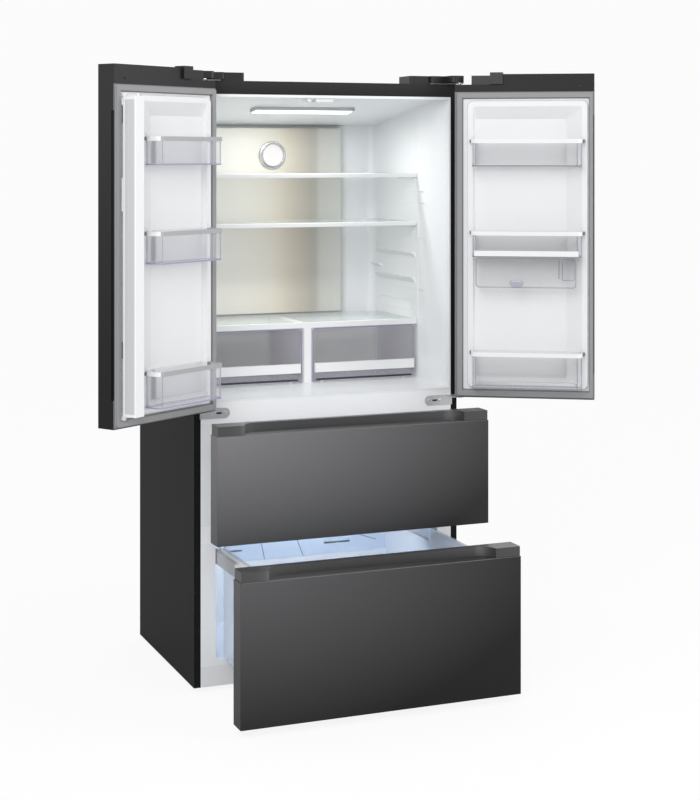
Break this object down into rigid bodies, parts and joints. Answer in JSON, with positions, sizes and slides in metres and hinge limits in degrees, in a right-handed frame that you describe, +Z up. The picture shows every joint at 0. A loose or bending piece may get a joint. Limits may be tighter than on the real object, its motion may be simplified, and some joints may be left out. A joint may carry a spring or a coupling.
{
  "type": "fridge freezer",
  "caption": "Free-standing fridge freezer with two side-hinged doors above, two pull-out freezer drawers below, flip mullion, glass shelves, crispers and door bins.",
  "frame": {"origin": "on the floor under the centre of the cabinet", "axes": "+Z up, -Y towards the doors and drawers, +X to the right seen from the front"},
  "size_m": [1.5157, 1.016, 1.789],
  "materials": {
    "case_steel": "satin black lacquer",
    "plated_steel": "plated sheet",
    "foam": "closed-cell foam",
    "rear_sheet": "grey coated sheet",
    "machine_black": "black",
    "compressor_black": "gloss black lacquer",
    "rail_grey": "light grey lacquer",
    "plinth_grey": "light grey lacquer",
    "liner_white": "white moulded liner",
    "freezer_white": "cool white moulded liner",
    "duct_metal": "brushed metal look",
    "chrome_trim": "satin chrome look",
    "lamp_grey": "grey",
    "lamp_white": "lit diffuser",
    "clear_glass": "clear glass",
    "trim_white": "white",
    "cover_blue": "cool white",
    "fin_aluminium": "bare fins",
    "runner_steel": "zinc plated",
    "hinge_steel": "satin plated",
    "cover_black": "black",
    "rubber_black": "black",
    "clear_plastic": "clear moulding",
    "door_dark": "dark steel look",
    "front_dark": "dark steel look",
    "frame_grey": "grey",
    "gasket_grey": "soft grey",
    "rim_silver": "silver grey",
    "basket_white": "frosted"
  },
  "bodies": {
    "cabinet": {"outer_case": "case_steel", "base_plate": "plated_steel", "insulation": "foam", "rear_panel": "rear_sheet", "machine_cover": "machine_black", "compressor": "compressor_black", "condenser": "fin_aluminium", "front_rails": "rail_grey", "plinth": "plinth_grey", "fridge_liner": "liner_white", "freezer_liner": "freezer_white", "air_duct_panel": "duct_metal", "air_filter": "chrome_trim", "lamp_housing": "lamp_grey", "lamp_lens": "lamp_white", "mullion_guide": "trim_white", "glass_shelves": "clear_glass", "shelf_trims": "trim_white", "crisper_frame": "trim_white", "evaporator_cover": "cover_blue", "evaporator": "fin_aluminium", "fixed_runners": "runner_steel", "top_hinges": "hinge_steel", "hinge_covers": "cover_black", "middle_hinges": "hinge_steel", "levelling_feet": "rubber_black"},
    "fan": {"fan_blades": "machine_black"},
    "rollers": {"rear_rollers": "rubber_black"},
    "left_crisper_drawer": {"left_crisper": "clear_plastic", "left_crisper_handle": "trim_white"},
    "right_crisper_drawer": {"right_crisper": "clear_plastic", "right_crisper_handle": "trim_white"},
    "left_door": {"left_door_shell": "door_dark", "left_door_frame": "frame_grey", "left_door_gasket": "gasket_grey", "left_door_liner": "liner_white", "left_cable_cover": "cover_black", "left_door_bins": "clear_plastic", "left_bin_rims": "rim_silver"},
    "mullion": {"mullion_bar": "trim_white"},
    "right_door": {"right_door_shell": "door_dark", "right_door_frame": "frame_grey", "right_door_gasket": "gasket_grey", "right_door_liner": "liner_white", "right_cable_cover": "cover_black", "right_door_bins": "clear_plastic", "right_bin_rims": "rim_silver"},
    "snack_drawer": {"snack_box": "clear_plastic"},
    "upper_drawer": {"upper_drawer_front": "front_dark", "upper_drawer_grip": "door_dark", "upper_drawer_gasket": "gasket_grey", "upper_drawer_inner": "trim_white", "upper_drawer_basket": "basket_white"},
    "upper_runners": {"upper_mid_runners": "runner_steel"},
    "lower_drawer": {"lower_drawer_front": "front_dark", "lower_drawer_grip": "door_dark", "lower_drawer_gasket": "gasket_grey", "lower_drawer_inner": "trim_white", "lower_drawer_basket": "basket_white"},
    "lower_runners": {"lower_mid_runners": "runner_steel"}
  },
  "joints": [
    {"name": "left_door_hinge", "type": "hinge", "parent": "cabinet", "child": "left_door", "pos_m": [-0.4045, -0.345, 1.303], "axis": [0, 0, -1], "range_deg": [-147.5, 6.5]},
    {"name": "right_door_hinge", "type": "hinge", "parent": "cabinet", "child": "right_door", "pos_m": [0.4045, -0.345, 1.303], "axis": [0, 0, 1], "range_deg": [-149, 5]},
    {"name": "mullion_flip", "type": "hinge", "parent": "left_door", "child": "mullion", "pos_m": [-0.69705, -0.59303, 1.274], "axis": [0, 0, 1], "range_deg": [-90, 0]},
    {"name": "snack_box_slide", "type": "slide", "parent": "right_door", "child": "snack_drawer", "axis": [-0.515, -0.8572, 0], "range_m": [0, 0.06]},
    {"name": "upper_drawer_slide", "type": "slide", "parent": "cabinet", "child": "upper_drawer", "axis": [0, -1, 0], "range_m": [-0.1465, 0.2835]},
    {"name": "upper_runner_slide", "type": "slide", "parent": "cabinet", "child": "upper_runners", "axis": [0, -1, 0], "range_m": [-0.07325, 0.14175]},
    {"name": "lower_drawer_slide", "type": "slide", "parent": "cabinet", "child": "lower_drawer", "axis": [0, -1, 0], "range_m": [-0.35, 0.08]},
    {"name": "lower_runner_slide", "type": "slide", "parent": "cabinet", "child": "lower_runners", "axis": [0, -1, 0], "range_m": [-0.175, 0.04]},
    {"name": "left_crisper_slide", "type": "slide", "parent": "cabinet", "child": "left_crisper_drawer", "axis": [0, -1, 0], "range_m": [0, 0.3]},
    {"name": "right_crisper_slide", "type": "slide", "parent": "cabinet", "child": "right_crisper_drawer", "axis": [0, -1, 0], "range_m": [0, 0.3]},
    {"name": "fan_spin", "type": "hinge", "parent": "cabinet", "child": "fan", "pos_m": [0, 0.118, 0.623], "axis": [0, 1, 0], "continuous": true},
    {"name": "roller_spin", "type": "hinge", "parent": "cabinet", "child": "rollers", "pos_m": [0, 0.235, 0.02], "axis": [1, 0, 0], "continuous": true}
  ],
  "couplings": [
    {"joint": "upper_runner_slide", "follows": "upper_drawer_slide", "ratio": 0.5},
    {"joint": "lower_runner_slide", "follows": "lower_drawer_slide", "ratio": 0.5}
  ]
}
